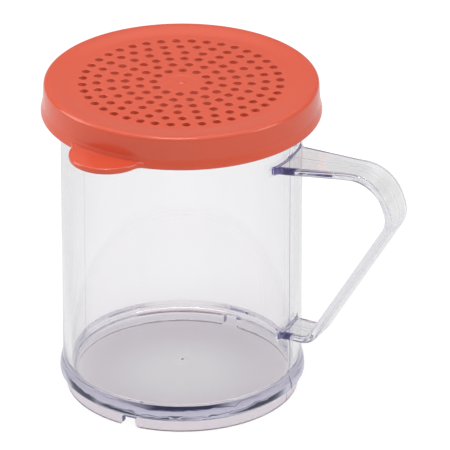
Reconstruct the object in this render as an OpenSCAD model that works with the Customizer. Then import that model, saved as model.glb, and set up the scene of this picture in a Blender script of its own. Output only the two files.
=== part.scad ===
// Spice shaker: a clear cup with a foot, a flanged rim and a ribbon handle, closed by a press-on
// lid with a perforated top and a pull tab.
//
// Frame: the origin is on the cup's axis in the plane it stands on. +Z is up, +X is the side of
// the handle. All sizes are in millimetres.

/* [Cup] */
// Outer diameter of the straight wall
cup_d = 70; // [58:1:90]
// Height from the table to the top of the rim
cup_h = 95; // [78:1:140]
// Thickness of the wall
wall_t = 2.4; // [1.8:0.1:3.2]
// Thickness of the floor
floor_t = 4.3; // [1.4:0.1:7]
// Radius of the corner between the floor and the wall, inside
floor_fillet = 2.4; // [0.3:0.1:4]
// How far the rim's flange stands out from the wall
rim_out = 3; // [2:0.1:4.5]
// Thickness of the rim's flange
rim_t = 2.2; // [1.6:0.1:4]
// Bevel at the mouth of the bore
bore_edge = 0.4; // [0.1:0.1:0.8]

/* [Foot] */
// Depth of the hollow under the floor, and height of the drain notches that open into it
foot_hollow = 3; // [2:0.1:4.5]
// Height of the lower edge of the flare, where the foot ring starts
flare_low = 4.8; // [3:0.1:8]
// Height at which the flare runs out into the wall
flare_high = 9.2; // [7:0.1:14]
// How far the flare stands out from the wall
flare_out = 0.9; // [0.4:0.1:1.5]
// How far the foot ring's bottom edge is set in from the wall
foot_inset = 1; // [0.6:0.1:2]
// How far the foot ring leans outwards over its height
foot_lean = 0.5; // [0:0.1:1]
// Thickness of the foot ring
foot_t = 1.9; // [1.4:0.1:4]
// Bevels along the foot ring's bottom edges
foot_edge = 0.3; // [0.1:0.1:0.6]
// Width of each drain notch
notch_w = 4.2; // [2.5:0.1:8]
// Radius at the mouth of each drain notch
notch_r = 1.3; // [0.3:0.1:1.8]
// Radius and height of the gate nub on the middle of the floor
nub_r = 1.3; // [0.6:0.1:2]
nub_h = 0.3; // [0.1:0.1:0.8]

/* [Handle] */
// Thickness of the ribbon
handle_t = 2.4; // [1.8:0.1:4]
// Width of the ribbon along the grip
handle_w = 11.2; // [9:0.1:16]
// Width of the ribbon where the top arm leaves the wall
root_w = 16.8; // [12:0.1:22]
// Radii of the fillets at the sides of the upper and the lower root
upper_root_r = 2.6; // [0.3:0.1:4]
lower_root_r = 1.8; // [0.3:0.1:4]
// Radius of the ribbon's long edges
edge_r = 0.9; // [0.3:0.1:0.9]
// How far the upper corner of the grip stands out from the wall
elbow_out = 30.4; // [22:0.1:40]
// How far the widest point of the grip stands out from the wall
grip_out = 35.8; // [27:0.1:46]
// How far the lower corner of the grip stands out from the wall
heel_out = 9.4; // [6:0.1:14]
// Depth of the top arm's root below the rim
arm_below = 15.2; // [12:0.1:20]
// Rise of the top arm from its root to the elbow
arm_rise = 2; // [0:0.1:5]
// Depth of the widest point of the grip below the rim
grip_below = 27.4; // [20:0.1:34]
// Height of the lower arm above the table
heel_up = 23.4; // [18:0.1:32]
// Radii of the elbow, the widest point and the heel, on the outside
elbow_r = 12.2; // [6:0.1:14]
grip_r = 9.3; // [6:0.1:12]
heel_r = 5.5; // [4:0.1:7]

/* [Lid] */
// Thickness of the perforated panel
panel_t = 1.5; // [1:0.1:2.5]
// Depth of the panel below the lid's crest
dish = 0.8; // [0.3:0.1:1.2]
// Thickness of the crest over the rim
crown_t = 1.8; // [1.4:0.1:3]
// Radius between the crest and the skirt
crown_r = 1.8; // [1:0.1:2.5]
// Height of the skirt, from the crest down
skirt_h = 9.7; // [8:0.1:16]
// Thickness of the skirt
skirt_t = 1.4; // [1:0.1:2.5]
// How far the skirt widens on its way down
skirt_draft = 0.35; // [0:0.05:0.8]
// Height of the lip round the skirt's lower edge
lip_h = 2.1; // [1.2:0.1:3]
// How far the lip stands out
lip_out = 0.5; // [0.3:0.1:0.9]
// Radius of the lip's edges
lip_r = 0.5; // [0.2:0.1:0.6]
// Depth of the plug ring below the panel
plug_h = 2.2; // [1:0.1:5]
// Thickness of the plug ring
plug_t = 1.2; // [0.8:0.1:2]
// Bevels along the plug ring's lower edges
plug_edge = 0.3; // [0.1:0.1:0.4]
// Radius and depth of the gate recess in the middle of the panel
recess_r = 4.5; // [3:0.1:5.5]
recess_t = 0.15; // [0.05:0.05:0.5]
// Radius and height of the gate nub in the recess
gate_r = 0.9; // [0.5:0.1:1.5]
gate_h = 0.25; // [0.1:0.05:0.5]
// Radius of the section of the bead that clips under the rim
bead_r = 0.5; // [0.3:0.05:0.8]

/* [Fit of the lid] */
// Gap between the rim and the skirt
skirt_gap = 0.35; // [0.2:0.05:0.8]
// Gap between the rim and the bead
bead_gap = 0.15; // [0.1:0.05:0.3]
// Gap between the plug ring and the cup's bore
plug_gap = 0.4; // [0.2:0.05:1]
// Gap between the rim's top and the lid
seat_gap = 0.1; // [0:0.05:0.5]

/* [Sprinkle holes] */
// Diameter of each hole
hole_d = 2.4; // [1:0.1:3]
// Bevel round the upper edge of each hole
hole_edge = 0.25; // [0.1:0.05:0.4]
// Radius of the innermost ring of holes
first_ring_r = 8; // [6:0.1:10]
// Distance from the outermost ring of holes to the plug ring
hole_land = 2.5; // [2:0.1:6]

/* [Pull tab] */
// Radius of the tab's round outline
tab_r = 11; // [8:0.1:14]
// How far the tab stands out from the lip
tab_out = 9; // [6:0.1:11]
// Thickness of the tab
tab_t = 1.9; // [1.2:0.1:3]
// Radius of the tab's edges
tab_edge_r = 0.7; // [0.2:0.1:0.9]
// Direction of the tab, counted from the handle
tab_angle = -96; // [-180:1:180]

/* [Hidden] */
$fn = 96;
eps = 0.01;

// Number of holes on each ring, from the innermost outwards
RING_COUNTS = [12, 16, 24, 24, 32, 40];

cup_r = cup_d / 2;
bore_r = cup_r - wall_t;
floor_z = foot_hollow + floor_t;
rim_r = cup_r + rim_out;
rim_low_z = cup_h - rim_t;
foot_r = cup_r - foot_inset;
foot_in_r = foot_r - foot_t;

seat_z = cup_h + seat_gap;
crest_z = seat_z + crown_t;
panel_top_z = crest_z - dish;
panel_low_z = panel_top_z - panel_t;
skirt_low_z = crest_z - skirt_h;
skirt_in_r = rim_r + skirt_gap;
side_r = skirt_in_r + skirt_t;
lip_out_r = side_r + skirt_draft + lip_out;
plug_out_r = bore_r - plug_gap;
plug_in_r = plug_out_r - plug_t;
plug_low_z = panel_low_z - plug_h;
bead_z = rim_low_z - 2 * bead_r;
ring_pitch = (plug_in_r - hole_land - first_ring_r) / (len(RING_COUNTS) - 1);
tab_centre_r = lip_out_r + tab_out - tab_r;

// A square with both of its outer corners rounded, as a flat section
module round_nosed(x, z, w, h, r) {
    translate([x, z + r]) square([w, h - 2 * r]);
    translate([x, z]) square([w - r, h]);
    for (corner_z = [z + r, z + h - r]) translate([x + w - r, corner_z]) circle(r);
}

// ---- cup ----

// The flare's outside is an arc that is upright at its lower edge and meets the wall at its top.
flare_h = flare_high - flare_low;
flare_arc_r = (flare_h * flare_h + flare_out * flare_out) / (2 * flare_out);

module flare_section() {
    intersection() {
        translate([cup_r + flare_out - flare_arc_r, flare_low]) circle(flare_arc_r, $fn = 256);
        translate([bore_r, flare_low]) square([wall_t + flare_out, flare_h + wall_t]);
    }
}

// The ring leans outwards up to the flare, and goes on inside the floor and the wall.
module foot_section() {
    polygon([
        [foot_in_r, foot_edge],
        [foot_in_r + foot_edge, 0],
        [foot_r - foot_edge, 0],
        [foot_r + foot_lean * foot_edge / flare_low, foot_edge],
        [foot_r + foot_lean, flare_low],
        [foot_r + foot_lean, floor_z],
        [foot_in_r, floor_z]
    ]);
}

module floor_section() {
    translate([0, foot_hollow]) square([foot_r, floor_t]);
    translate([0, floor_z - eps]) square([nub_r, nub_h + eps]);
    translate([bore_r - floor_fillet, floor_z - eps]) difference() {
        square([floor_fillet + eps, floor_fillet + eps]);
        translate([0, floor_fillet + eps]) circle(floor_fillet);
    }
}

module rim_section() {
    nose_r = 0.3 * rim_t;
    round_nosed(bore_r, rim_low_z, wall_t + rim_out, rim_t, nose_r);
    // A cove under the flange carries it on the wall.
    cove_r = 0.4 * rim_out;
    translate([cup_r - eps, rim_low_z - cove_r]) difference() {
        square([cove_r + eps, cove_r + eps]);
        translate([cove_r + eps, 0]) circle(cove_r);
    }
}

module cup_section() {
    foot_section();
    floor_section();
    flare_section();
    difference() {
        union() {
            translate([bore_r, flare_low]) square([wall_t, cup_h - flare_low - rim_t / 2]);
            rim_section();
        }
        // The bevel leads the lid's plug ring into the bore.
        translate([bore_r, cup_h]) rotate(45) square(bore_edge * sqrt(2), center = true);
    }
}

// Each notch runs through the ring, as high as the hollow behind it.
module drain_notch() {
    translate([0, foot_in_r - 1, -eps]) rotate([90, 0, 180]) linear_extrude(foot_t + 3) {
        translate([-notch_w / 2, 0]) square([notch_w, foot_hollow + eps]);
        difference() {
            translate([-notch_w / 2 - notch_r, 0]) square([notch_w + 2 * notch_r, notch_r]);
            for (side = [-1, 1]) translate([side * (notch_w / 2 + notch_r), notch_r]) circle(notch_r);
        }
    }
}

module cup() {
    color([0.93, 0.94, 0.96, 0.35]) difference() {
        rotate_extrude() cup_section();
        for (turn = [0, 180]) rotate(turn) drain_notch();
    }
}

// ---- handle ----

// Corners of the ribbon's outer line in the XZ plane, from the upper root round to the lower one.
// The line starts and ends at the bore, and is trimmed to the outside of the wall.
HANDLE_LINE = [
    [bore_r, cup_h - arm_below - arm_rise * wall_t / elbow_out],
    [cup_r + elbow_out, cup_h - arm_below + arm_rise],
    [cup_r + grip_out, cup_h - grip_below],
    [cup_r + heel_out, heel_up],
    [bore_r, heel_up]
];
HANDLE_RADII = [0, elbow_r, grip_r, heel_r, 0];
ARC_STEPS = 8;
EDGE_STEPS = 4;
ROOT_STEPS = 5;
ROOT_SINK = 0.2;

function unit(v) = v / norm(v);
function heading(a, b) = atan2(b[1] - a[1], b[0] - a[0]);

// The points of a rounded corner, each as [x, z, heading], on a line that turns clockwise
function corner_points(before, at, after, r) =
    let (
        h0 = heading(before, at),
        h1 = heading(at, after),
        turn = (h0 - h1 + 360) % 360,
        reach = r * tan(turn / 2),
        start = at - reach * unit(at - before),
        centre = start + r * [sin(h0), -cos(h0)]
    )
    [for (i = [0:ARC_STEPS]) let (h = h0 - turn * i / ARC_STEPS)
        [centre[0] - r * sin(h), centre[1] + r * cos(h), h]];

// The bare line's stations
LINE_STATIONS = concat(
    [[HANDLE_LINE[0][0], HANDLE_LINE[0][1], heading(HANDLE_LINE[0], HANDLE_LINE[1])]],
    [for (i = [1:3]) each corner_points(HANDLE_LINE[i - 1], HANDLE_LINE[i], HANDLE_LINE[i + 1],
                                        HANDLE_RADII[i])],
    [[HANDLE_LINE[4][0], HANDLE_LINE[4][1], heading(HANDLE_LINE[3], HANDLE_LINE[4])]]
);
last = len(LINE_STATIONS) - 1;

// Near the wall the ribbon widens in a round fillet of radius r on each side, from the point
// where the fillet touches the wall. Its first ring is sunk a little into the wall.
function root_stations(start, r, w) =
    let (
        centre_y = w / 2 + r,
        touch = asin(centre_y / (cup_r + r)),
        centre_x = (cup_r + r) * cos(touch) - ROOT_SINK
    )
    [for (i = [0:ROOT_STEPS]) let (
        a = touch + (90 - touch) * i / ROOT_STEPS,
        x = centre_x - r * cos(a)
    ) [x, start[1] + (x - start[0]) * tan(start[2]), start[2], 2 * (centre_y - r * sin(a))]];

// All stations as [x, z, heading, width]. The top arm narrows from its root to the elbow; from
// there on the width is constant.
function at_width(station, w) = [station[0], station[1], station[2], w];
upper_root = root_stations(LINE_STATIONS[0], upper_root_r, root_w);
lower_root = root_stations(LINE_STATIONS[last], lower_root_r, handle_w);
HANDLE_STATIONS = concat(
    [at_width(LINE_STATIONS[0], upper_root[0][3])],
    upper_root,
    [for (i = [1:last - 1]) at_width(LINE_STATIONS[i], handle_w)],
    [for (i = [ROOT_STEPS:-1:0]) lower_root[i]],
    [at_width(LINE_STATIONS[last], lower_root[0][3])]
);

// One cross-section: a rectangle with round corners, its outer face on the line
function ribbon_ring(station) = [
    for (quarter = [0:3], i = [0:EDGE_STEPS]) let (
        a = 90 * quarter + 90 * i / EDGE_STEPS,
        side = (quarter == 0 || quarter == 3 ? 1 : -1) * (station[3] / 2 - edge_r),
        deep = (quarter < 2 ? 0 : 1) * (2 * edge_r - handle_t) - edge_r,
        y = side + edge_r * cos(a),
        n = deep + edge_r * sin(a)
    ) [station[0] - n * sin(station[2]), y, station[1] + n * cos(station[2])]
];

module ribbon() {
    count = len(HANDLE_STATIONS);
    m = 4 * (EDGE_STEPS + 1);
    points = [for (station = HANDLE_STATIONS) each ribbon_ring(station)];
    sides = [for (i = [0:count - 2], j = [0:m - 1]) let (k = (j + 1) % m)
        each [[i * m + j, i * m + k, (i + 1) * m + k], [i * m + j, (i + 1) * m + k, (i + 1) * m + j]]];
    first_cap = [for (j = [m - 1:-1:0]) j];
    last_cap = [for (j = [0:m - 1]) (count - 1) * m + j];
    polyhedron(points, concat(sides, [first_cap, last_cap]));
}

module handle() {
    color([0.93, 0.94, 0.96, 0.35]) difference() {
        ribbon();
        cylinder(h = cup_h, r = cup_r);
    }
}

// ---- lid ----

BORDER_STEPS = 6;

module crown_section() {
    crown_x = side_r - crown_r;
    // The border climbs from the panel to the crest in a soft S.
    border = [for (i = [0:BORDER_STEPS]) let (t = 1 - i / BORDER_STEPS)
        [plug_in_r + (crown_x - plug_in_r) * t, panel_top_z + dish * t * t * (3 - 2 * t)]];
    polygon(concat(
        [
            [0, panel_low_z],
            [plug_out_r, panel_low_z],
            [plug_out_r, seat_z],
            [skirt_in_r, seat_z],
            [crown_x + crown_r / 2, seat_z]
        ],
        border,
        [
            [recess_r, panel_top_z],
            [recess_r, panel_top_z - recess_t],
            [gate_r, panel_top_z - recess_t],
            [gate_r, panel_top_z - recess_t + gate_h],
            [0, panel_top_z - recess_t + gate_h]
        ]
    ));
    intersection() {
        translate([crown_x, crest_z - crown_r]) circle(crown_r);
        translate([crown_x - eps, seat_z - eps]) square([2 * crown_r, 2 * crown_r]);
    }
}

module skirt_section() {
    polygon([
        [skirt_in_r, seat_z + eps],
        [side_r, seat_z + eps],
        [side_r, crest_z - crown_r],
        [side_r + skirt_draft, skirt_low_z + lip_h / 2],
        [skirt_in_r + skirt_draft, skirt_low_z + lip_h / 2]
    ]);
    lip_in_r = skirt_in_r + skirt_draft;
    round_nosed(lip_in_r, skirt_low_z, lip_out_r - lip_in_r, lip_h, lip_r);
    // The bead clips under the rim's flange.
    translate([rim_r + bead_gap + bead_r, bead_z]) circle(bead_r, $fn = 48);
}

module plug_section() {
    polygon([
        [plug_in_r, panel_low_z + eps],
        [plug_in_r, plug_low_z + plug_edge],
        [plug_in_r + plug_edge, plug_low_z],
        [plug_out_r - plug_edge, plug_low_z],
        [plug_out_r, plug_low_z + plug_edge],
        [plug_out_r, panel_low_z + eps]
    ]);
}

// One drill with its countersink, reaching past both faces of the panel
module hole_drill() {
    hole_r = hole_d / 2;
    rotate_extrude($fn = 32) polygon([
        [0, panel_low_z - 1],
        [hole_r, panel_low_z - 1],
        [hole_r, panel_top_z - hole_edge],
        [hole_r + hole_edge + 0.5, panel_top_z + 0.5],
        [0, panel_top_z + 0.5]
    ]);
}

module sprinkle_holes() {
    for (ring = [0:len(RING_COUNTS) - 1], i = [0:RING_COUNTS[ring] - 1])
        rotate(tab_angle + 360 * i / RING_COUNTS[ring])
            translate([first_ring_r + ring * ring_pitch, 0, 0]) hole_drill();
}

module pull_tab() {
    rotate(tab_angle) difference() {
        translate([tab_centre_r, 0, skirt_low_z])
            rotate_extrude() round_nosed(0, 0, tab_r, tab_t, tab_edge_r);
        translate([0, 0, skirt_low_z - 1]) cylinder(h = tab_t + 2, r = side_r);
    }
}

module lid() {
    color([0.85, 0.36, 0.29]) {
        difference() {
            rotate_extrude() {
                crown_section();
                skirt_section();
                plug_section();
            }
            sprinkle_holes();
        }
        pull_tab();
    }
}

cup();
handle();
lid();
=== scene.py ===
# %% [markdown]
# # A spice shaker: clear cup, coral lid
#
# This notebook dresses a spice shaker for its studio picture. The shaker is two mouldings: a clear
# cup with a ribbon handle, and a coral lid with rings of sprinkle holes and a pull tab. The packed
# CAD part fixes every size and place, so the first cell loads it.

# %% Load the fixed frame
import math

import bmesh
import bpy
from mathutils import Matrix, Vector
from mathutils.geometry import delaunay_2d_cdt


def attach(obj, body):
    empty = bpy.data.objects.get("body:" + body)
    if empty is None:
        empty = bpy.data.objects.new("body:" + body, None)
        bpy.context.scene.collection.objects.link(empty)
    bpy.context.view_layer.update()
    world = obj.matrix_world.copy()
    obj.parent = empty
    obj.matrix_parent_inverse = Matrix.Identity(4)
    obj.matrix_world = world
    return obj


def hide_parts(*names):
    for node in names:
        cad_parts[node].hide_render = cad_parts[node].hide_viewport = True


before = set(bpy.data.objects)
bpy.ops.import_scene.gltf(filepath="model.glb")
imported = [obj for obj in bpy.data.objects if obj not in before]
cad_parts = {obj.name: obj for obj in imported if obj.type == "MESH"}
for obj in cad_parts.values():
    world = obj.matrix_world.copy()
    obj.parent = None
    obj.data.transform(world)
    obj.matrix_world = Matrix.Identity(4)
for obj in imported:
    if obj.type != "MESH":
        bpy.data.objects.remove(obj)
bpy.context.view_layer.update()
MM = 0.001

# %% [markdown]
# ## The camera
#
# A long lens from well back keeps the rims of the cup nearly true ellipses. The camera looks down
# at 26 degrees. Seen from above, it stands 27 degrees round from the front, -Y, towards the handle.
# A camera looks along its own -Z, so its turn is built from three directions: right, up, and back
# towards the eye.

# %% Camera
LENS, SENSOR = 498.4, 36  # millimetres
VIEW_END = 20  # metres
EYE = Vector((0.742913, -1.445490, 0.853748))
AIM = Vector((0.011199, 0.005647, 0.050121))


def look_at(thing, eye, aim):
    """Puts a camera or a lamp at eye, turned to look at aim."""
    back = (eye - aim).normalized()
    right = Vector((0, 0, 1)).cross(back).normalized()
    turn = Matrix((right, back.cross(right), back)).transposed()
    thing.matrix_world = Matrix.Translation(eye) @ turn.to_4x4()
    return thing


def place(name, data):
    """Makes an object that shows data, and puts it in the scene."""
    thing = bpy.data.objects.new(name, data)
    bpy.context.scene.collection.objects.link(thing)
    return thing


camera = place("camera", bpy.data.cameras.new("camera"))
camera.data.lens, camera.data.sensor_width, camera.data.clip_end = LENS, SENSOR, VIEW_END
look_at(camera, EYE, AIM)
bpy.context.scene.camera = camera
print("camera", round((EYE - AIM).length, 3), "m from its aim")

# %% [markdown]
# ## Turned sections
#
# Cup and lid are both turned shapes. Each is drawn as half a section, a list of corners as
# (radius from the axis, height), and spun. A mould has no sharp corners, so every corner may carry
# a radius, and one helper swaps the corner for an arc that is tangent to both of its sides.

# %% Section helpers
def arc(centre, radius, start, end, steps):
    """Points on a circle from start to end, in degrees, both included."""
    return [
        (centre[0] + radius * math.cos(a), centre[1] + radius * math.sin(a))
        for a in (math.radians(start + (end - start) * i / steps) for i in range(steps + 1))
    ]


def soften(corners, steps):
    """The line through the corners, (x, z) or (x, z, radius), with arcs for those with a radius."""
    line = []
    for i, corner in enumerate(corners):
        here = Vector(corner[:2])
        if len(corner) == 2 or i in (0, len(corners) - 1):
            line.append(tuple(here))
            continue
        radius = corner[2]
        a = (Vector(corners[i - 1][:2]) - here).normalized()
        b = (Vector(corners[i + 1][:2]) - here).normalized()
        half = a.angle(b) / 2
        centre = here + (a + b).normalized() * radius / math.sin(half)
        start, end = here + a * radius / math.tan(half), here + b * radius / math.tan(half)
        u, v = start - centre, end - centre
        full = u.angle(v)
        for k in range(steps + 1):
            t = k / steps
            p = (u * math.sin((1 - t) * full) + v * math.sin(t * full)) / math.sin(full)
            line.append(tuple(centre + p))
    return line


print("a softened square corner:", len(soften([(0, 0), (1, 0, 0.2), (1, 1)], 5)), "points")

# %% [markdown]
# ## Meshes from points
#
# `Shell` gathers the points and faces of one piece in millimetres, and turns them into a mesh in
# metres. Parts of a piece are made apart and share their border points exactly, so merging points
# that coincide closes the piece. `spin` turns a section about Z, and `loft` joins ring to ring.

# %% Shell
WELD = 0.0005  # points closer than this are one, in millimetres


class Shell:
    """Points in millimetres and faces of one piece."""

    def __init__(self):
        self.points, self.faces = [], []

    def add(self, points, faces):
        first = len(self.points)
        self.points += [tuple(p) for p in points]
        self.faces += [[first + i for i in face] for face in faces]

    def spin(self, section, angles, lift=None):
        """Spins a section. A point on the axis becomes one shared pole.
        lift(k, j) is added to the radius of the section's point k at angle number j."""
        points, faces, n = [], [], len(section)
        for j, a in enumerate(angles):
            for k, (r, z) in enumerate(section):
                full = r + (lift(k, j) if lift else 0)
                points.append((full * math.cos(a), full * math.sin(a), z))
        for j in range(len(angles)):
            nxt = (j + 1) % len(angles)
            for k in range(n - 1):
                quad = [j * n + k, nxt * n + k, nxt * n + k + 1, j * n + k + 1]
                if section[k][0] == 0:
                    quad.pop(1)
                elif section[k + 1][0] == 0:
                    quad.pop(2)
                faces.append(quad)
        self.add(points, faces)

    def loft(self, rings, caps=True):
        """Joins rings of the same number of points. With caps both ends are closed."""
        m = len(rings[0])
        points = [p for ring in rings for p in ring]
        faces = [
            [i * m + j, i * m + (j + 1) % m, (i + 1) * m + (j + 1) % m, (i + 1) * m + j]
            for i in range(len(rings) - 1) for j in range(m)
        ]
        if caps:
            faces += [list(range(m))[::-1], [(len(rings) - 1) * m + j for j in range(m)]]
        self.add(points, faces)

    def build(self, name):
        """The piece as an object: points merged, faces turned outwards."""
        mesh = bpy.data.meshes.new(name)
        mesh.from_pydata([[c * MM for c in p] for p in self.points], [], self.faces)
        work = bmesh.new()
        work.from_mesh(mesh)
        bmesh.ops.remove_doubles(work, verts=work.verts, dist=WELD * MM)
        bmesh.ops.recalc_face_normals(work, faces=work.faces)
        open_edges = sum(not e.is_manifold for e in work.edges)
        work.to_mesh(mesh)
        work.free()
        print(name, len(mesh.vertices), "points,", len(mesh.polygons), "faces,", open_edges, "open")
        return place(name, mesh)


print("points closer than", WELD, "mm are merged")

# %% [markdown]
# A notch, the handle and the tab can't be spun with the rest. Each is a closed shell of its own,
# and the exact Boolean cuts it from the piece or joins it on. The slivers that a Boolean leaves
# along its seam are dissolved.

# %% Joining and cutting
SLIVER = 0.0002  # edges shorter than this are dissolved, in millimetres


def evaluated_mesh(piece):
    """The mesh of a piece with its modifiers applied."""
    bpy.context.view_layer.update()
    ready = piece.evaluated_get(bpy.context.evaluated_depsgraph_get())
    return bpy.data.meshes.new_from_object(ready)


def carve(piece, operation, *tools):
    """Joins tools to a piece, or cuts them from it, and removes them."""
    for tool in tools:
        step = piece.modifiers.new("carve", "BOOLEAN")
        step.operation, step.solver, step.object = operation, "EXACT", tool
    piece.data = evaluated_mesh(piece)
    piece.modifiers.clear()
    for tool in tools:
        bpy.data.objects.remove(tool)
    work = bmesh.new()
    work.from_mesh(piece.data)
    bmesh.ops.dissolve_degenerate(work, edges=work.edges, dist=SLIVER * MM)
    open_edges = sum(not e.is_manifold for e in work.edges)
    print(piece.name, operation.lower(), len(work.faces), "faces,", open_edges, "open")
    work.to_mesh(piece.data)
    work.free()


print("edges shorter than", SLIVER, "mm are dissolved")

# %% [markdown]
# ## The cup's section
#
# The section runs from the axis out under the floor, round the foot ring, up the flare and the
# wall, over the rim's flange, down the bore and back to the axis along the floor. The flare is one
# long arc that is upright at its lip and dies into the wall. The cove under the flange stiffens
# the rim. A small nub in the middle of the floor is where the plastic was let into the mould.

# %% Cup sizes
CUP_R, BORE_R, CUP_H = 35.0, 32.6, 95.0
RIM_R, RIM_LOW, RIM_IN, RIM_COVE, RIM_EDGE, RIM_TOP = 38.0, 92.8, 35.2, 1.2, 0.45, 0.6
BORE_EDGE, BORE_CORNER = 0.4, 2.4
FLOOR_LOW, FLOOR_TOP = 3.15, 7.15
FOOT_R, FOOT_IN, FOOT_LEAN, FOOT_MID = 34.0, 32.1, 0.5, 33.0
FLARE_LOW, FLARE_HIGH, FLARE_OUT = 4.8, 9.2, 0.9
FLARE_START, FLARE_CORNER = 2.2, 0.25
EDGE = 0.3
NUB_R, NUB_FOOT, NUB_H, NUB_EDGE = 1.1, 1.4, 0.3, 0.15
# Heights of the wall's rings of points, closer together where the handle meets it
WALL_ROWS = (12, 16, 20, 22, 24.6, 27, 30, 38, 48, 58, 68, 74, 76.5, 78.5, 80.5, 83, 87)
print("wall", round(CUP_R - BORE_R, 2), "mm, floor", FLOOR_TOP - FLOOR_LOW, "mm")

# %% Cup section
flare_arc = ((FLARE_HIGH - FLARE_LOW) ** 2 + FLARE_OUT**2) / (2 * FLARE_OUT)
flare_end = math.degrees(math.asin((FLARE_HIGH - FLARE_LOW) / flare_arc))
flare_centre = (CUP_R + FLARE_OUT - flare_arc, FLARE_LOW)
flare = arc(flare_centre, flare_arc, FLARE_START, flare_end, 10)
under = soften([(0, FLOOR_LOW), (1, FLOOR_LOW), (8, FLOOR_LOW), (20, FLOOR_LOW),
                (FOOT_IN, FLOOR_LOW, EDGE), (FOOT_IN, 0, EDGE), (FOOT_MID, 0)], 4)
outside = (
    soften([(FOOT_MID + 0.1, 0), (FOOT_R, 0, EDGE), (FOOT_R + FOOT_LEAN, FLARE_LOW, FLARE_CORNER),
            (CUP_R + FLARE_OUT, FLARE_LOW, EDGE), flare[0]], 4)
    + flare[1:]
    + [(CUP_R, z) for z in WALL_ROWS]
    + soften([(CUP_R, 90), (CUP_R, RIM_LOW, RIM_COVE), (RIM_R, RIM_LOW, RIM_EDGE),
              (RIM_R, CUP_H, RIM_TOP), (RIM_IN, CUP_H)], 5)
)
inside = soften([(RIM_IN - 0.1, CUP_H), (BORE_R, CUP_H, BORE_EDGE),
                 (BORE_R, FLOOR_TOP, BORE_CORNER), (20, FLOOR_TOP), (8, FLOOR_TOP),
                 (NUB_FOOT, FLOOR_TOP, NUB_EDGE), (NUB_R, FLOOR_TOP + NUB_H, NUB_EDGE),
                 (0, FLOOR_TOP + NUB_H)], 8)
cup_section = under + outside + inside
print("cup section has", len(cup_section), "points")

# %% [markdown]
# The two halves of the mould meet in the plane of the handle and leave a hair-thin ridge down the
# outside. Three columns of points close together make it: the middle one is its crest. The bore
# was formed by one round core, so it has no ridge.

# %% Cup body
SEGMENTS = 256
RIDGE_HALF, RIDGE_H = 0.11, 0.06

beside = RIDGE_HALF / CUP_R
angles = []
for step in range(SEGMENTS):
    a = math.tau * step / SEGMENTS
    angles += [a - beside, a, a + beside] if step % (SEGMENTS // 2) == 0 else [a]
ridges = {j for j, a in enumerate(angles) if any(abs(a - mid) < 1e-9 for mid in (0, math.pi))}
first_out, last_out = len(under) + 1, len(under) + len(outside) - 1


def parting_ridge(k, j):
    """The ridge's height at section point k and angle number j."""
    return RIDGE_H if j in ridges and first_out <= k < last_out else 0


shell = Shell()
shell.spin(cup_section, angles, parting_ridge)
cup = shell.build("clear_cup")

# %% [markdown]
# ## Drain notches
#
# Two notches let wash water run out of the hollow under the floor when the cup stands upside
# down. Each is one cutter: an arch outline with a flared mouth, as high as the hollow, pushed
# through the ring.

# %% Notches
NOTCH_W, NOTCH_MOUTH = 4.2, 1.3
NOTCH_FROM, NOTCH_TO = 30.2, 37


def notch_cutter(side):
    """A cutter for the notch at -Y or +Y."""
    half = NOTCH_W / 2
    mouth = -half - NOTCH_MOUTH
    left = soften([(mouth - 0.4, -0.5), (mouth - 0.1, 0), (-half, 0, NOTCH_MOUTH),
                   (-half, FLOOR_LOW, EDGE), (0, FLOOR_LOW)], 5)
    outline = left + [(-x, z) for x, z in left[-2::-1]]
    cutter = Shell()
    cutter.loft([[(x, side * y, z) for x, z in outline] for y in (NOTCH_FROM, NOTCH_TO)])
    return cutter.build("notch")


carve(cup, "DIFFERENCE", notch_cutter(-1), notch_cutter(1))

# %% [markdown]
# ## The ribbon handle
#
# The handle is one flat ribbon with rounded edges, bent round an elbow, the grip and a heel. It is
# lofted: a line gives the stations, each station carries a rounded rectangle, and the rings are
# joined. The line starts and ends a little inside the wall.

# %% Handle line
HANDLE_T, HANDLE_EDGE = 2.4, 0.9
ROOT_IN, ROOT_Z = 1.2, 79.8
TOP_RISE, TOP_RUN = 2, 30.4
HANDLE_LINE = [(CUP_R - ROOT_IN, ROOT_Z - TOP_RISE * ROOT_IN / TOP_RUN), (65.4, 81.8), (70.8, 67.6),
               (44.4, 23.4), (CUP_R - ROOT_IN, 23.4)]
BEND_RADII = {1: 12.2, 2: 9.3, 3: 5.5}
BEND_STEPS, STRAIGHT_STEP = 14, 2.5


def handle_stations():
    """Points (x, z, heading in degrees) along the ribbon's outer face."""
    line = [Vector(p) for p in HANDLE_LINE]
    first = line[1] - line[0]
    stops = [(*HANDLE_LINE[0], math.degrees(math.atan2(first.y, first.x)))]
    for i, r in BEND_RADII.items():
        u, v = (line[i] - line[i - 1]).normalized(), (line[i + 1] - line[i]).normalized()
        h0, h1 = math.atan2(u.y, u.x), math.atan2(v.y, v.x)
        turn = (h0 - h1) % math.tau
        start = line[i] - u * r * math.tan(turn / 2)
        centre = start + Vector((math.sin(h0), -math.cos(h0))) * r
        for k in range(BEND_STEPS + 1):
            h = h0 - turn * k / BEND_STEPS
            stops.append((centre.x - r * math.sin(h), centre.y + r * math.cos(h), math.degrees(h)))
    stops.append((*HANDLE_LINE[-1], 180.0))
    full = []
    for a, b in zip(stops, stops[1:]):
        gap = math.dist(a[:2], b[:2])
        parts = int(gap / STRAIGHT_STEP) if gap > 2 * STRAIGHT_STEP else 1
        for t in (k / parts for k in range(parts)):
            full.append((a[0] + (b[0] - a[0]) * t, a[1] + (b[1] - a[1]) * t, a[2]))
    return full + [stops[-1]]


stations = handle_stations()
print(len(stations), "stations on the handle")

# %% [markdown]
# Every ring is the same rounded rectangle in the plane across the ribbon, with the moulding ridge
# along the middle of both faces. The ribbon is widest at its upper root.

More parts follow.
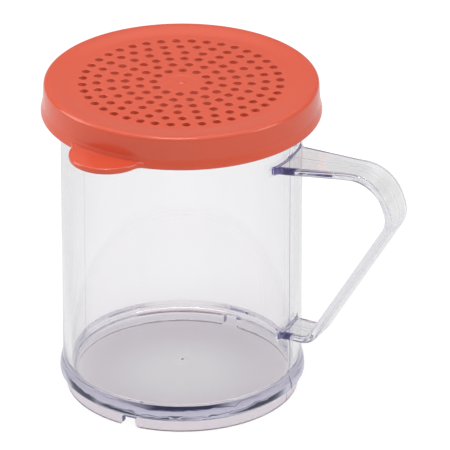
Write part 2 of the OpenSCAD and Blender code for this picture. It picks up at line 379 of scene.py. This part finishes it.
# %% Handle rings
# The ribbon's width at a share of its length from the upper root to the lower one
HANDLE_WIDTHS = [(0.0, 17.1), (0.2, 11.2), (1.0, 11.2)]
HANDLE_RIDGE = RIDGE_H * 0.8


def width_at(share):
    """The ribbon's width at a share of its length, on straight lines between the listed ones."""
    for (s0, w0), (s1, w1) in zip(HANDLE_WIDTHS, HANDLE_WIDTHS[1:]):
        if share <= s1:
            return w0 + (w1 - w0) * ((share - s0) / (s1 - s0))


def ribbon_outline(width, thicker):
    """(y, n) round one section: n is 0 on the outer face and negative inside the ribbon."""
    half, top = width / 2 - HANDLE_EDGE, thicker - HANDLE_EDGE
    low = HANDLE_EDGE - HANDLE_T - thicker
    corners = [((half, top), 0), ((-half, top), 90), ((-half, low), 180), ((half, low), 270)]
    outline = []
    for centre, start in corners:
        outline += arc(centre, HANDLE_EDGE, start, start + 90, 5)
        if start in (0, 180):
            # the ridge along the middle of this face
            side, level = (1, thicker) if start == 0 else (-1, -HANDLE_T - thicker)
            outline += [(side * RIDGE_HALF, level), (0, level + side * HANDLE_RIDGE),
                        (-side * RIDGE_HALF, level)]
    return outline


def ribbon_ring(x, z, heading, width, thicker=0.0, wall_gap=None):
    """One ring. With wall_gap every point is put that far from the round wall."""
    h = math.radians(heading)
    ring = []
    for y, n in ribbon_outline(width, thicker):
        px, pz = x - n * math.sin(h), z + n * math.cos(h)
        if wall_gap is not None:
            wx = math.sqrt((CUP_R + wall_gap) ** 2 - y * y)
            pz += (wx - px) * math.tan(h)
            px = wx
        ring.append((px, y, pz))
    return ring


print("ribbon", width_at(0), "mm wide at the upper root,", width_at(1), "mm at the lower one")

# %% [markdown]
# Near the wall the rings swell into fillets, wide at the sides and small at the faces, and their
# points lie at one distance from the round wall, so that the fillets follow it. The last ring of
# each root lies inside the wall, where the Boolean takes it away.

# %% Handle roots
UPPER_FILLET, LOWER_FILLET, FACE_FILLET = 2.6, 1.8, 0.5
UPPER_SHARE, CLEAR_OF_ROOT, SUNK = 0.03, 0.8, 0.6


def fillet_at(gap, radius):
    """How far a fillet of this radius has swollen at this gap from the wall."""
    return radius - math.sqrt(radius**2 - (radius - gap) ** 2) if gap < radius else 0.0


def root_rings(station, width, side_fillet):
    """Rings that swell from the ribbon into the wall, the outermost first."""
    rings = []
    for degrees in range(0, 100, 10):
        gap = side_fillet * (1 - math.cos(math.radians(degrees)))
        wide = width + 2 * fillet_at(gap, side_fillet)
        rings.append(ribbon_ring(*station, wide, fillet_at(gap, FACE_FILLET), gap))
    return rings[::-1] + [ribbon_ring(*station, width + 2 * side_fillet, FACE_FILLET, -SUNK)]


lengths = [0]
for a, b in zip(stations, stations[1:]):
    lengths.append(lengths[-1] + math.dist(a[:2], b[:2]))
inner = [i for i, s in enumerate(stations) if s[0] > CUP_R + UPPER_FILLET + CLEAR_OF_ROOT]
rings = root_rings(stations[0], width_at(UPPER_SHARE), UPPER_FILLET)[::-1]
rings += [ribbon_ring(*stations[i], width_at(lengths[i] / lengths[-1])) for i in inner]
rings += root_rings(stations[-1], width_at(1), LOWER_FILLET)
handle_shell = Shell()
handle_shell.loft(rings)
carve(cup, "UNION", handle_shell.build("handle"))

# %% [markdown]
# ## Smooth shading that keeps its edges
#
# Flat facets would glitter in clear plastic. Every face is shaded smoothly, real corners are
# marked sharp, and each corner's normal leans towards the largest face beside it, so that the big
# plain faces stay plain and only the small fillets bend the light.

# %% Shading
def shade(piece, sharp_degrees):
    """Smooth shading with sharp edges where faces meet at more than this angle."""
    mesh = piece.data
    mesh.shade_smooth()
    mesh.set_sharp_from_angle(angle=math.radians(sharp_degrees))
    weigh = piece.modifiers.new("weigh", "WEIGHTED_NORMAL")
    weigh.mode, weigh.weight, weigh.keep_sharp = "FACE_AREA", 50, True
    piece.data = evaluated_mesh(piece)
    piece.modifiers.clear()
    print(piece.name, "shaded, sharp over", sharp_degrees, "degrees")


shade(cup, 40)

# %% [markdown]
# ## The lid's turned shell
#
# The lid's section starts at the edge of the perforated panel, climbs in a soft curve to the crest,
# rolls over into the skirt, and ends in a lip. Inside are the bead that clips under the rim and the
# plug ring that centres the lid in the bore.

# %% Lid sizes
CREST_Z, PANEL_TOP, PANEL_LOW, PANEL_R = 96.9, 96.1, 94.6, 30.9
SIDE_R, SKIRT_IN, SKIRT_LOW, DRAFT = 39.75, 38.35, 87.2, 0.35
CROWN_R, SEAT_Z = 1.25, 95.1
WAIST_R, WAIST_Z, WAIST_ROUND = SIDE_R + 0.3, SKIRT_LOW + 3.1, 2.0
LIP_OUT, LIP_Z, LIP_ROUND, LIP_EDGE = 40.6, SKIRT_LOW + 0.9, 0.8, 0.5
PLUG_OUT, PLUG_IN, PLUG_LOW, PLUG_EDGE = 32.2, 31.0, 92.4, 0.4
BEAD_R, BEAD_C, BEAD_Z = 0.5, 38.65, 91.8
print("skirt", round(CREST_Z - SKIRT_LOW, 2), "mm, panel", round(PANEL_TOP - PANEL_LOW, 2), "mm")

# %% Lid section
CLIMB_STEPS = 10
climb = []
for k in range(CLIMB_STEPS + 1):
    t = k / CLIMB_STEPS
    climb.append((PANEL_R + (SIDE_R - CROWN_R - PANEL_R) * t,
                  PANEL_TOP + (CREST_Z - PANEL_TOP) * t * t * (3 - 2 * t)))
roll = arc((SIDE_R - CROWN_R, CREST_Z - CROWN_R), CROWN_R, 90, 0, 10)[1:]
skirt = soften([roll[-1], (WAIST_R, WAIST_Z, WAIST_ROUND), (LIP_OUT, LIP_Z, LIP_ROUND),
                (LIP_OUT, SKIRT_LOW, LIP_EDGE), (SKIRT_IN + DRAFT, SKIRT_LOW, 0.4),
                (SKIRT_IN + 0.14, BEAD_Z - 0.6)], 5)[1:]
bead = arc((BEAD_C, BEAD_Z), BEAD_R, 250, 110, 8)
inner_side = soften([(SKIRT_IN, BEAD_Z + 0.7), (SKIRT_IN, SEAT_Z, EDGE), (PLUG_OUT, SEAT_Z, EDGE),
                     (PLUG_OUT, PLUG_LOW, PLUG_EDGE), (PLUG_IN, PLUG_LOW, PLUG_EDGE),
                     (PLUG_IN, PANEL_LOW, 0.09), (PANEL_R, PANEL_LOW)], 4)
lid_section = climb + roll + skirt + bead + inner_side
lid_shell = Shell()
lid_shell.spin(lid_section, [math.tau * k / SEGMENTS for k in range(SEGMENTS)])
print("lid section has", len(lid_section), "points")

# %% [markdown]
# ## The sprinkle holes
#
# 148 holes lie on six rings, and every ring has one hole on the line of the tab. Each hole is a
# short tube with a rounded upper edge and a small chamfer below.

# %% Hole pattern
TAB_ANGLE = math.radians(-96)
RING_RADII = [8 + 4.1 * k for k in range(6)]
RING_COUNTS = [12, 16, 24, 24, 32, 40]
HOLE_R, HOLE_ROUND, HOLE_CHAMFER, HOLE_SIDES = 1.2, 0.28, 0.12, 24

hole_centres = [
    (r * math.cos(a), r * math.sin(a))
    for r, count in zip(RING_RADII, RING_COUNTS)
    for a in (TAB_ANGLE + math.tau * i / count for i in range(count))
]
hole_line = [
    (HOLE_R + HOLE_ROUND - HOLE_ROUND * math.sin(a),
     PANEL_TOP - HOLE_ROUND + HOLE_ROUND * math.cos(a))
    for a in (math.radians(degrees) for degrees in range(0, 108, 18))
]
hole_line += [(HOLE_R, PANEL_LOW + HOLE_CHAMFER), (HOLE_R + HOLE_CHAMFER, PANEL_LOW)]
print(len(hole_centres), "holes on rings of", [round(r, 1) for r in RING_RADII], "mm")

# %% [markdown]
# The flat sheets between the tubes come from a constrained Delaunay triangulation: it is given the
# circles as fixed edges and fills the disc with triangles, and the triangles that fall inside a
# circle are left out. A triangle's middle is tested, so the test circle is drawn a trace smaller.

# %% Panel
GATE_R, GATE_SIDES = 5.4, 64
SNUG, CDT_EPSILON = 0.995, 1e-7


def circle(centre, radius, sides):
    """Corners of a round outline, as (x, y)."""
    return [(centre[0] + radius * math.cos(math.tau * k / sides),
             centre[1] + radius * math.sin(math.tau * k / sides)) for k in range(sides)]


def pierced_sheet(z, hole_radius, gate_radius=0.0):
    """A flat sheet at height z with a hole at each centre, and perhaps a gap in the middle."""
    loops = [circle((0, 0), PANEL_R, SEGMENTS)]
    loops += [circle(c, hole_radius, HOLE_SIDES) for c in hole_centres]
    if gate_radius:
        loops.append(circle((0, 0), gate_radius, GATE_SIDES))
    points, edges = [], []
    for loop in loops:
        first = len(points)
        points += loop
        edges += [(first + k, first + (k + 1) % len(loop)) for k in range(len(loop))]
    out = delaunay_2d_cdt([Vector(p) for p in points], edges, [], 0, CDT_EPSILON)
    spots, triangles = out[0], out[2]
    kept = []
    for triangle in triangles:
        middle = sum((Vector(spots[i]) for i in triangle), Vector((0, 0))) / 3
        if middle.length < gate_radius:
            continue
        if all((middle - Vector(c)).length > hole_radius * SNUG for c in hole_centres):
            kept.append(triangle)
    return [(p[0], p[1], z) for p in spots], kept


lid_shell.add(*pierced_sheet(PANEL_TOP, HOLE_R + HOLE_ROUND, GATE_R))
lid_shell.add(*pierced_sheet(PANEL_LOW, HOLE_R + HOLE_CHAMFER))
for centre in hole_centres:
    lid_shell.loft([[(x, y, z) for x, y in circle(centre, r, HOLE_SIDES)] for r, z in hole_line],
                   caps=False)
print("lid has", len(lid_shell.faces), "faces with its panel")

# %% [markdown]
# In the middle of the panel is the gate: a shallow round recess with a small nub where the coral
# plastic came in. It is spun like the rest and fills the gap that the sheet left.

# %% Gate recess
RECESS_R, RECESS_IN, RECESS_DEEP = 4.65, 4.35, 0.15
GATE_NUB_R, GATE_NUB_FOOT, GATE_NUB_H = 0.8, 1.1, 0.1
gate = soften([(GATE_R, PANEL_TOP), (RECESS_R, PANEL_TOP, 0.2),
               (RECESS_IN, PANEL_TOP - RECESS_DEEP, 0.2),
               (GATE_NUB_FOOT, PANEL_TOP - RECESS_DEEP, 0.15),
               (GATE_NUB_R, PANEL_TOP + GATE_NUB_H, 0.12), (0, PANEL_TOP + GATE_NUB_H)], 3)
lid_shell.spin(gate, [math.tau * k / GATE_SIDES for k in range(GATE_SIDES)])
lid = lid_shell.build("coral_lid")

# %% [markdown]
# ## The pull tab
#
# The tab is a round tongue at the lip. Its outline is drawn with true tangent arcs: the tab's own
# circle, a hollow fillet on each side, and a last arc hidden in the skirt. Rings of that outline,
# drawn in a little near the top and the bottom, round its edges.

# %% Tab
TAB_R, TAB_C, TAB_T, TAB_EDGE, TAB_FILLET = 11.0, 38.6, 1.9, 0.7, 3.0
TAB_HIDDEN, TAB_EDGE_STEPS = 39.5, 4


def tab_outline(inset):
    """The tab's outline in its own plane, +X outwards, drawn in by inset."""
    reach = LIP_OUT + TAB_FILLET
    cos_phi = (reach**2 + TAB_C**2 - (TAB_R + TAB_FILLET) ** 2) / (2 * TAB_C * reach)
    phi = math.acos(cos_phi)
    fillet = Vector((reach * math.cos(phi), reach * math.sin(phi)))
    to_lid = math.degrees(math.atan2(-fillet.y, -fillet.x))
    to_tab = math.degrees(math.atan2(-fillet.y, TAB_C - fillet.x))
    side = arc(fillet, TAB_FILLET + inset, to_lid % 360, to_tab % 360, 8)
    start = math.degrees(math.atan2(fillet.y, fillet.x - TAB_C))
    nose = arc((TAB_C, 0), TAB_R - inset, start, -start, 40)
    hidden = arc((0, 0), TAB_HIDDEN, -math.degrees(phi), math.degrees(phi), 8)
    mirrored = [(x, -y) for x, y in side[::-1]]
    return hidden + side + nose[1:-1] + mirrored


levels = []
for k in range(TAB_EDGE_STEPS + 1):
    turn = math.radians(90 * k / TAB_EDGE_STEPS)
    levels.append((TAB_EDGE * (1 - math.sin(turn)), SKIRT_LOW + TAB_EDGE * (1 - math.cos(turn))))
levels += [(inset, 2 * SKIRT_LOW + TAB_T - z) for inset, z in levels[::-1]]
turn_tab = Matrix.Rotation(TAB_ANGLE, 3, "Z")
tab_shell = Shell()
tab_shell.loft([[tuple(turn_tab @ Vector((x, y, z))) for x, y in tab_outline(inset)]
                for inset, z in levels])
carve(lid, "UNION", tab_shell.build("tab"))
shade(lid, 35)

# %% [markdown]
# ## Sums that build nodes
#
# A material's pattern is a sum of numbers that change over the surface. `Amount` wraps the socket
# that gives such a number, and Python's own +, - and * on it add the Math nodes.

# %% Amount
class Amount:
    """A number that changes over a surface."""

    def __init__(self, finish, socket):
        self.finish, self.socket = finish, socket

    def __add__(self, other):
        return self.finish.maths("ADD", self, other)

    def __sub__(self, other):
        return self.finish.maths("SUBTRACT", self, other)

    def __rsub__(self, other):
        return self.finish.maths("SUBTRACT", other, self)

    def __mul__(self, other):
        return self.finish.maths("MULTIPLY", self, other)

    __radd__, __rmul__ = __add__, __mul__


class Step:
    """A node that was added, whose outputs are asked for by name or number."""

    def __init__(self, finish, node):
        self.finish, self.made = finish, node

    def out(self, name=0):
        return self.made.outputs[name]

    def amount(self, name=0):
        return Amount(self.finish, self.made.outputs[name])


print("Amount and Step are ready")

# %% [markdown]
# `Finish` is one material, or the world. Its `node` adds any node from its type, its settings and
# its inputs, where an input is a plain value or whatever feeds it. The other methods are short
# names for nodes that come back often.

# %% Finish
BLACK, WHITE = (0, 0, 0, 1), (1, 1, 1, 1)


class Finish:
    """One material, or the world, and the nodes that give its look."""

    def __init__(self, name, owner=None):
        self.owner = owner or bpy.data.materials.new(name)
        self.owner.use_nodes = True
        self.tree = self.owner.node_tree
        self.tree.nodes.clear()

    def node(self, kind, settings=None, inputs=None):
        node = self.tree.nodes.new(kind)
        for key, value in (settings or {}).items():
            if key == "stops":
                ramp = node.color_ramp
                for (at, colour), stop in zip(value, list(ramp.elements) + [None] * len(value)):
                    stop = stop or ramp.elements.new(at)
                    stop.position, stop.color = at, colour
            else:
                setattr(node, key, value)
        for key, value in (inputs or {}).items():
            if isinstance(value, Amount):
                value = value.socket
            elif isinstance(value, Step):
                value = value.out()
            if isinstance(value, bpy.types.NodeSocket):
                self.tree.links.new(value, node.inputs[key])
            else:
                node.inputs[key].default_value = value
        return Step(self, node)

    def maths(self, operation, *terms):
        """A Math node on plain numbers and Amounts."""
        made = self.node("ShaderNodeMath", {"operation": operation}, dict(enumerate(terms)))
        return made.amount()

    def measure(self, operation, *vectors):
        """A Vector Math node whose answer is one number, such as LENGTH."""
        made = self.node("ShaderNodeVectorMath", {"operation": operation}, dict(enumerate(vectors)))
        return made.amount("Value")

    def ramp(self, value, *stops):
        """Reads value off a row of stops, each a place from 0 to 1 and a colour."""
        return self.node("ShaderNodeValToRGB", {"stops": stops}, {0: value})

    def noise(self, scale, detail, roughness=0.5):
        """Soft noise from 0 to 1 that sticks to the object."""
        spot = self.node("ShaderNodeTexCoord").out("Object")
        return self.node("ShaderNodeTexNoise", {}, {
            "Vector": spot, "Scale": scale, "Detail": detail, "Roughness": roughness}).amount()

    def light_path(self, name):
        """What kind of ray is asking, such as Is Camera Ray."""
        return self.node("ShaderNodeLightPath").amount(name)

    def glow(self, colour, strength):
        return self.node("ShaderNodeEmission", {}, {"Color": colour, "Strength": strength})

    def mix(self, share, first, second):
        """A Mix Shader: first where share is 0, second where it is 1."""
        return self.node("ShaderNodeMixShader", {}, {0: share, 1: first, 2: second})

    def wear(self, piece):
        piece.data.materials.clear()
        piece.data.materials.append(self.owner)
        print(piece.name, "wears a finish of", len(self.tree.nodes), "nodes")


print("Finish is ready")

# %% [markdown]
# ## Clear plastic
#
# Clear plastic bends light more than water does and less than diamond: its index is 1.585. A faint
# blue-violet tint shows only where the light runs a long way inside, so it is given as a volume
# that takes a little red and green, and not as a surface colour. The moulded faces are not quite
# flat, and a very weak, slow bump makes their reflections swim. A finer ripple joins it at the
# base, where the melt turned the corner.
#
# Lamps would cast a black shadow through solid plastic, so for shadow rays the surface is mixed
# with plain see-through. Light that is caught in the thick floor or the handle's edge turns round
# and round. After 24 turns the surface gives a painted, even violet glow instead, which stands in
# for what that trapped light fades to.

# %% Clear plastic
PLASTIC_INDEX, PLASTIC_GLOSS = 1.585, 0.012
TINT, TINT_DENSITY = (0.22, 0.22, 0.50, 1), 9.0
# painted light: colour and strength of the violet glow that stands in for trapped light
PAINTED_GLOW_COLOUR, PAINTED_GLOW_STRENGTH, TURNS = (0.42, 0.35, 0.80, 1), 0.50, 24.0
SHADOW_PASS, SHADOW_TINT = 0.9, (0.945, 0.94, 0.94, 1)
RIPPLE_TOP, RIPPLE_FADE, RIPPLE_SHARE = 10.5 * MM, 2 * MM, 0.7


def clear_plastic():
    f = Finish("clear_plastic")
    spot = f.node("ShaderNodeTexCoord").out("Object")
    height = f.node("ShaderNodeSeparateXYZ", {}, {0: spot}).amount(2)
    low = (RIPPLE_TOP - height) * (1 / RIPPLE_FADE)
    at_base = f.maths("MAXIMUM", f.maths("MINIMUM", low, 1.0), 0.0)
    flow, ripple = f.noise(38.0, 1.0, 0.4), f.noise(240.0, 1.0, 0.4)
    bump = f.node("ShaderNodeBump", {}, {
        "Strength": 0.05, "Distance": 0.6 * MM, "Height": flow + ripple * at_base * RIPPLE_SHARE})
    plastic = f.node("ShaderNodeBsdfPrincipled", {}, {
        "Base Color": WHITE, "Roughness": PLASTIC_GLOSS, "IOR": PLASTIC_INDEX,
        "Transmission Weight": 1.0, "Normal": bump})
    see_through = f.node("ShaderNodeBsdfTransparent", {}, {"Color": SHADOW_TINT})
    clear = f.mix(f.light_path("Is Shadow Ray") * SHADOW_PASS, plastic, see_through)
    # painted light: past this many turns the plastic glows violet instead of bending light
    painted_glow_after_turns = f.maths("GREATER_THAN", f.light_path("Ray Depth"), TURNS)
    surface = f.mix(painted_glow_after_turns, clear, f.glow(PAINTED_GLOW_COLOUR, PAINTED_GLOW_STRENGTH))
    tint = f.node("ShaderNodeVolumeAbsorption", {}, {"Color": TINT, "Density": TINT_DENSITY})
    f.node("ShaderNodeOutputMaterial", {}, {"Surface": surface, "Volume": tint})
    return f


clear_plastic().wear(cup)

# %% [markdown]
# ## Coral plastic
#
# The lid is a softer, solid-coloured plastic. Its colour is nearly even, with a slow drift where
# the melt flowed, and its gloss is broken by a very fine moulded grain.

# %% Coral plastic
CORAL_INDEX = 1.5
CORAL_DEEP, CORAL_LIGHT = (0.60, 0.078, 0.036, 1), (0.65, 0.094, 0.046, 1)


def coral_plastic():
    f = Finish("coral_plastic")
    drift, grain = f.noise(22.0, 2.0), f.noise(1500.0, 3.0)
    colour = f.node("ShaderNodeMix", {"data_type": "RGBA"},
                    {0: drift, 6: CORAL_DEEP, 7: CORAL_LIGHT})
    bump = f.node("ShaderNodeBump", {}, {"Strength": 0.12, "Distance": 0.05 * MM, "Height": grain})
    plastic = f.node("ShaderNodeBsdfPrincipled", {}, {
        "Base Color": colour.out(2), "Roughness": 0.13 + 0.05 * grain, "IOR": CORAL_INDEX,
        "Normal": bump})
    f.node("ShaderNodeOutputMaterial", {}, {"Surface": plastic})
    return f


coral_plastic().wear(lid)

# %% [markdown]
# ## The studio floor
#
# A white floor runs away under the whole view. To the camera, to reflections and through the clear
# plastic it glows a little, so that it reads as white, and the rest of its look is plain diffuse
# white, which keeps a soft shadow under the cup. Seen through plastic or in a mirror image it has
# painted shade: it is greyer in a ring round the foot, where the cup's own shade lies, and far out
# to both sides, which gives the clear walls their grey edges. Below, it is see-through, for views
# from underneath.

# %% Floor
FLOOR_HALF, FLOOR_Z = 3000.0, -0.05
CLOTH = (0.82, 0.82, 0.82, 1)
DIRECT_GLOW = (WHITE, 1.15)
# painted shade: the grey glow of the floor far out to both sides
PALE_GLOW, PAINTED_SIDE_SHADE_GLOW = ((1, 0.985, 0.99, 1), 0.88), (WHITE, 0.70)
# painted shade: the dimmer, pinkish glow of the ring round the foot, where the cup's shadow lies
PAINTED_SHADE_GLOW = ((1, 0.89, 0.97, 1), 0.72)
GLOW_SHARE = 0.66
# Both ramps run over the first 100 mm from the axis: one outwards, one to the right and the left
PER_METRE = 10.0
SIDEWAYS = (9, 4.6, 0)


def looked_through(f):
    """1 on rays that come from a reflection or through clear plastic, else 0."""
    total = f.light_path("Is Glossy Ray") + f.light_path("Is Transmission Ray")
    return f.maths("MINIMUM", total, 1.0)


def floor_white():
    f = Finish("floor_white")
    cloth = f.node("ShaderNodeBsdfDiffuse", {}, {"Color": CLOTH})
    spot = f.node("ShaderNodeNewGeometry").out("Position")
    # painted shade: a ring round the foot, found by distance from the axis
    painted_shade_ring = f.ramp(f.measure("LENGTH", spot) * PER_METRE,
                       (0.10, BLACK), (0.25, WHITE), (0.36, WHITE), (0.42, BLACK))
    # painted shade: the floor greyer far out to both sides, seen only through plastic and in
    # reflections
    painted_side_shade = f.ramp(f.maths("ABSOLUTE", f.measure("DOT_PRODUCT", spot, SIDEWAYS)),
                     (0.32, BLACK), (0.72, WHITE))
    away = f.mix(painted_side_shade, f.glow(*PALE_GLOW), f.glow(*PAINTED_SIDE_SHADE_GLOW))
    indirect = f.mix(painted_shade_ring, away, f.glow(*PAINTED_SHADE_GLOW))
    through = f.mix(looked_through(f) * GLOW_SHARE, cloth, indirect)
    direct = f.mix(GLOW_SHARE, cloth, f.glow(*DIRECT_GLOW))
    lit = f.mix(f.light_path("Is Camera Ray"), through, direct)
    below = f.node("ShaderNodeNewGeometry").out("Backfacing")
    face = f.mix(below, lit, f.node("ShaderNodeBsdfTransparent"))
    f.node("ShaderNodeOutputMaterial", {}, {"Surface": face})
    return f


floor_shell = Shell()
corners = ((-1, -1), (1, -1), (1, 1), (-1, 1))
floor_shell.add([(FLOOR_HALF * x, FLOOR_HALF * y, FLOOR_Z) for x, y in corners], [[0, 1, 2, 3]])
floor = floor_shell.build("floor")
floor_white().wear(floor)

# %% [markdown]
# ## The room
#
# The room is a pale backdrop all round. Behind the shaker four parts of it are dark and bluish, but
# only for rays that come through clear plastic. The thick floor guides light from there to the
# flare in front, which draws the navy lines. The glow depends only on the direction in the room:
# the nearer it is to the middle of a dark part, the darker. In mirror images the room is dusky low
# down, so that the lid's skirt keeps its depth of colour.

# %% World
PALE, NIGHT, DUSK = (0.85, 0.85, 0.85, 1), (0.012, 0.022, 0.06, 1), (0.35, 0.34, 0.34, 1)
FILL = 0.65
# Each as azimuth and height in degrees, and the cosines where it starts and where it is full
DARK_PARTS = [(118, 37, 0.95, 0.985), (100, 19, 0.92, 0.975), (68, 21, 0.96, 0.99),
              (150, 23, 0.955, 0.99)]


def room():
    world = bpy.context.scene.world or bpy.data.worlds.new("room")
    bpy.context.scene.world = world
    f = Finish("room", world)

    def backdrop(colour, strength=1.0):
        return f.node("ShaderNodeBackground", {}, {"Color": colour, "Strength": strength})

    spot = f.node("ShaderNodeTexCoord").out("Generated")
    darkest = None
    for azimuth, rise, edge, full in DARK_PARTS:
        a, e = math.radians(azimuth), math.radians(rise)
        middle = (math.cos(a) * math.cos(e), math.sin(a) * math.cos(e), math.sin(e))
        dark = f.ramp(f.measure("DOT_PRODUCT", spot, middle), (edge, BLACK), (full, WHITE)).amount()
        darkest = dark if darkest is None else f.maths("MAXIMUM", darkest, dark)
    tone = f.node("ShaderNodeMix", {"data_type": "RGBA"}, {0: darkest, 6: PALE, 7: NIGHT})
    height = f.node("ShaderNodeSeparateXYZ", {}, {0: spot}).out(2)
    strip = f.ramp(height, (0.28, DUSK), (0.52, DUSK), (0.66, PALE))
    lit = f.mix(f.light_path("Is Glossy Ray"), backdrop(WHITE, FILL), backdrop(strip))
    through = f.mix(f.light_path("Is Transmission Ray"), lit, backdrop(tone.out(2)))
    shown = f.mix(f.light_path("Is Camera Ray"), through, backdrop(WHITE))
    f.node("ShaderNodeOutputWorld", {}, {"Surface": shown})
    print("the room has", len(f.tree.nodes), "nodes")


room()

# %% [markdown]
# ## The lamps
#
# Four softboxes light the shaker: a wide one overhead for an even level, a small one in front of it
# that draws the thin bright line on the lid's crest, and one on each side for the skirt. Only the
# overhead one shows through the plastic, because the others would stand in it as white squares.
# The plastic needs far more bounces than usual, since light turns many times in its edges.

# %% Lamps
LAMPS = [
    # name, place, width and height, watts, shows through the plastic
    ("overhead", (-0.15, 0.10, 1.3), (1.3, 1.3), 3.4, True),
    ("key", (0.05, -0.25, 1.25), (0.4, 0.25), 3.5, False),
    ("left_box", (-1.25, -0.35, 0.75), (0.7, 1.0), 8.0, False),
    ("right_box", (1.30, 0.25, 0.70), (0.6, 0.9), 5.0, False),
]
LAMP_AIM = Vector((0, 0, 0.05))
BOUNCES = 96

for name, spot, (width, height), watts, shows in LAMPS:
    data = bpy.data.lights.new(name, "AREA")
    data.shape, data.size, data.size_y, data.energy = "RECTANGLE", width, height, watts
    lamp = look_at(place(name, data), Vector(spot), LAMP_AIM)
    lamp.visible_transmission = shows
bpy.context.scene.view_settings.view_transform = "Standard"
for kind in ("max_bounces", "glossy_bounces", "transmission_bounces"):
    setattr(bpy.context.scene.cycles, kind, BOUNCES)
print(len(LAMPS), "softboxes of", sum(lamp[3] for lamp in LAMPS), "watts")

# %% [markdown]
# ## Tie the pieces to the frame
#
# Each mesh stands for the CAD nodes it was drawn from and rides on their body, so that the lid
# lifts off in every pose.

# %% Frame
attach(cup, "cup")
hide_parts("cup", "handle")
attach(lid, "lid")
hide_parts("lid")

bpy.context.view_layer.update()
